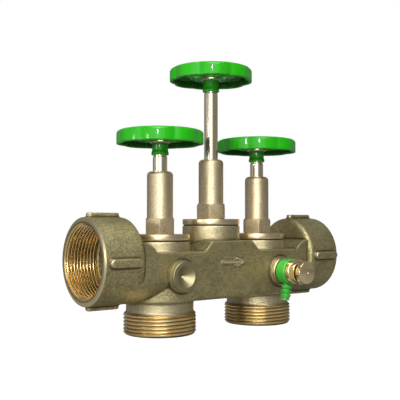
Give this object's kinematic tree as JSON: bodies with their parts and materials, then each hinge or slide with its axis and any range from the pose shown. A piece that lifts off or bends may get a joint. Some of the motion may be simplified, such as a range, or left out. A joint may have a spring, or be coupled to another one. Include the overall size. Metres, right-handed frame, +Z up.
{
  "type": "three-valve bypass block",
  "caption": "Cast brass pipe valve block with two side sockets, two lower threaded ports, rising-stem valves with green handwheels and a small drain valve.",
  "frame": {"origin": "midway between the axes of the two lower ports, in the plane of their end faces", "axes": "+X along the block from the inlet socket to the outlet socket, +Z up along the valve spindles, so the drain valve points to -Y"},
  "size_m": [0.202, 0.081, 0.1826],
  "materials": {
    "cast_brass": "sand-cast, matt, fine grain",
    "blasted_brass": "blasted satin",
    "turned_brass": "turned, bright",
    "green_enamel": "glossy enamel",
    "green_plastic": "glossy moulded",
    "zinc_steel": "zinc plated",
    "black_rubber": "smooth rubber"
  },
  "bodies": {
    "block": {"valve_body": "cast_brass", "left_bonnet": "blasted_brass", "left_bonnet_gasket": "black_rubber", "left_gland_bush": "turned_brass", "left_stem_seals": "black_rubber", "middle_bonnet": "blasted_brass", "middle_bonnet_gasket": "black_rubber", "middle_gland_bush": "turned_brass", "middle_stem_seals": "black_rubber", "right_bonnet": "blasted_brass", "right_bonnet_gasket": "black_rubber", "right_gland_bush": "turned_brass", "right_stem_seals": "black_rubber", "drain_body": "turned_brass", "drain_nozzle_seals": "black_rubber"},
    "left_disc_set": {"left_disc": "turned_brass", "left_disc_clip": "zinc_steel", "left_seat_washer": "black_rubber", "left_disc_nut": "turned_brass"},
    "left_spindle_set": {"left_spindle": "turned_brass", "left_handwheel": "green_enamel", "left_wheel_washer": "zinc_steel", "left_wheel_nut": "zinc_steel"},
    "middle_disc_set": {"middle_disc": "turned_brass", "middle_disc_clip": "zinc_steel", "middle_seat_washer": "black_rubber", "middle_disc_nut": "turned_brass"},
    "middle_spindle_set": {"middle_spindle": "turned_brass", "middle_handwheel": "green_enamel", "middle_wheel_washer": "zinc_steel", "middle_wheel_nut": "zinc_steel"},
    "right_disc_set": {"right_disc": "turned_brass", "right_disc_clip": "zinc_steel", "right_seat_washer": "black_rubber", "right_disc_nut": "turned_brass"},
    "right_spindle_set": {"right_spindle": "turned_brass", "right_handwheel": "green_enamel", "right_wheel_washer": "zinc_steel", "right_wheel_nut": "zinc_steel"},
    "nozzle": {"drain_nozzle": "green_plastic"},
    "drain_washer_set": {"drain_seat_washer": "black_rubber"},
    "drain_screw_set": {"drain_screw": "turned_brass", "drain_screw_seal": "black_rubber"}
  },
  "joints": [
    {"name": "left_lift", "type": "slide", "parent": "block", "child": "left_disc_set", "axis": [0, 0, 1], "range_m": [-0.00901, 0]},
    {"name": "left_turn", "type": "hinge", "parent": "left_disc_set", "child": "left_spindle_set", "pos_m": [-0.0435, 0, 0.1], "axis": [0, 0, 1], "range_deg": [-1080, 0]},
    {"name": "middle_lift", "type": "slide", "parent": "block", "child": "middle_disc_set", "axis": [0, 0, 1], "range_m": [0, 0.00901]},
    {"name": "middle_turn", "type": "hinge", "parent": "middle_disc_set", "child": "middle_spindle_set", "pos_m": [0, 0, 0.1], "axis": [0, 0, 1], "range_deg": [0, 1080]},
    {"name": "right_lift", "type": "slide", "parent": "block", "child": "right_disc_set", "axis": [0, 0, 1], "range_m": [-0.00901, 0]},
    {"name": "right_turn", "type": "hinge", "parent": "right_disc_set", "child": "right_spindle_set", "pos_m": [0.0435, 0, 0.1], "axis": [0, 0, 1], "range_deg": [-1080, 0]},
    {"name": "nozzle_swivel", "type": "hinge", "parent": "block", "child": "nozzle", "pos_m": [0.0435, -0.0314, 0.0385], "axis": [0, -1, 0], "continuous": true},
    {"name": "drain_travel", "type": "slide", "parent": "block", "child": "drain_washer_set", "axis": [0, -1, 0], "range_m": [0, 0.00201]},
    {"name": "drain_turn", "type": "hinge", "parent": "drain_washer_set", "child": "drain_screw_set", "pos_m": [0.0435, -0.045, 0.0385], "axis": [0, -1, 0], "range_deg": [0, 720]}
  ],
  "couplings": [
    {"joint": "left_lift", "follows": "left_turn", "m_per_rad": 0.00047746},
    {"joint": "middle_lift", "follows": "middle_turn", "m_per_rad": 0.00047746},
    {"joint": "right_lift", "follows": "right_turn", "m_per_rad": 0.00047746},
    {"joint": "drain_travel", "follows": "drain_turn", "m_per_rad": 0.00015915}
  ]
}
